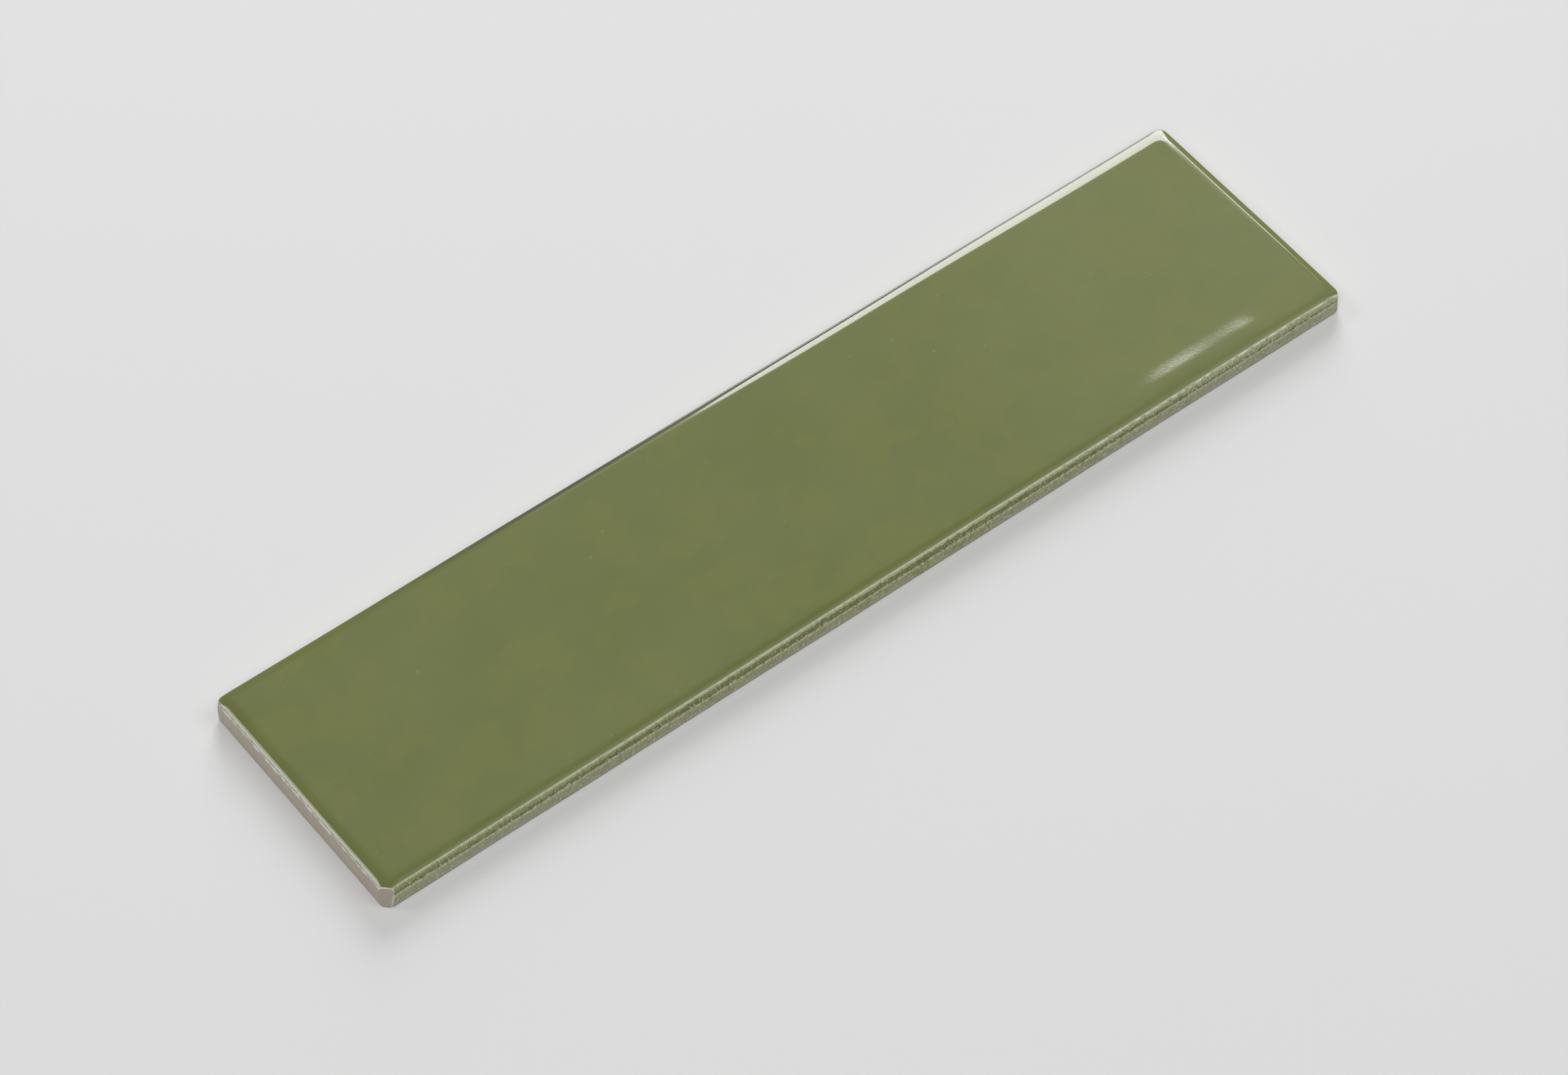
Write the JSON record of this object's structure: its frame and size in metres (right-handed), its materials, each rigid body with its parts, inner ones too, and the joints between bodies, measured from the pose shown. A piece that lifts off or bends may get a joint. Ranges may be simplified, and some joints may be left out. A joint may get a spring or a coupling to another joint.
{
  "type": "glazed wall tile",
  "caption": "Long narrow handmade-look wall tile with a gently waved glossy olive-green glazed face, soft lips and a keyed back for adhesive.",
  "frame": {"origin": "middle of the back face", "axes": "+X along the tile's length, +Y across its width, +Z out of the glazed face"},
  "size_m": [0.28, 0.068, 0.0076],
  "materials": {
    "glazed_clay": "glossy olive-green glaze over the face and lips, bare greyish fired clay low on the sides and on the back"
  },
  "bodies": {
    "root": {"tile": "glazed_clay"}
  },
  "joints": []
}
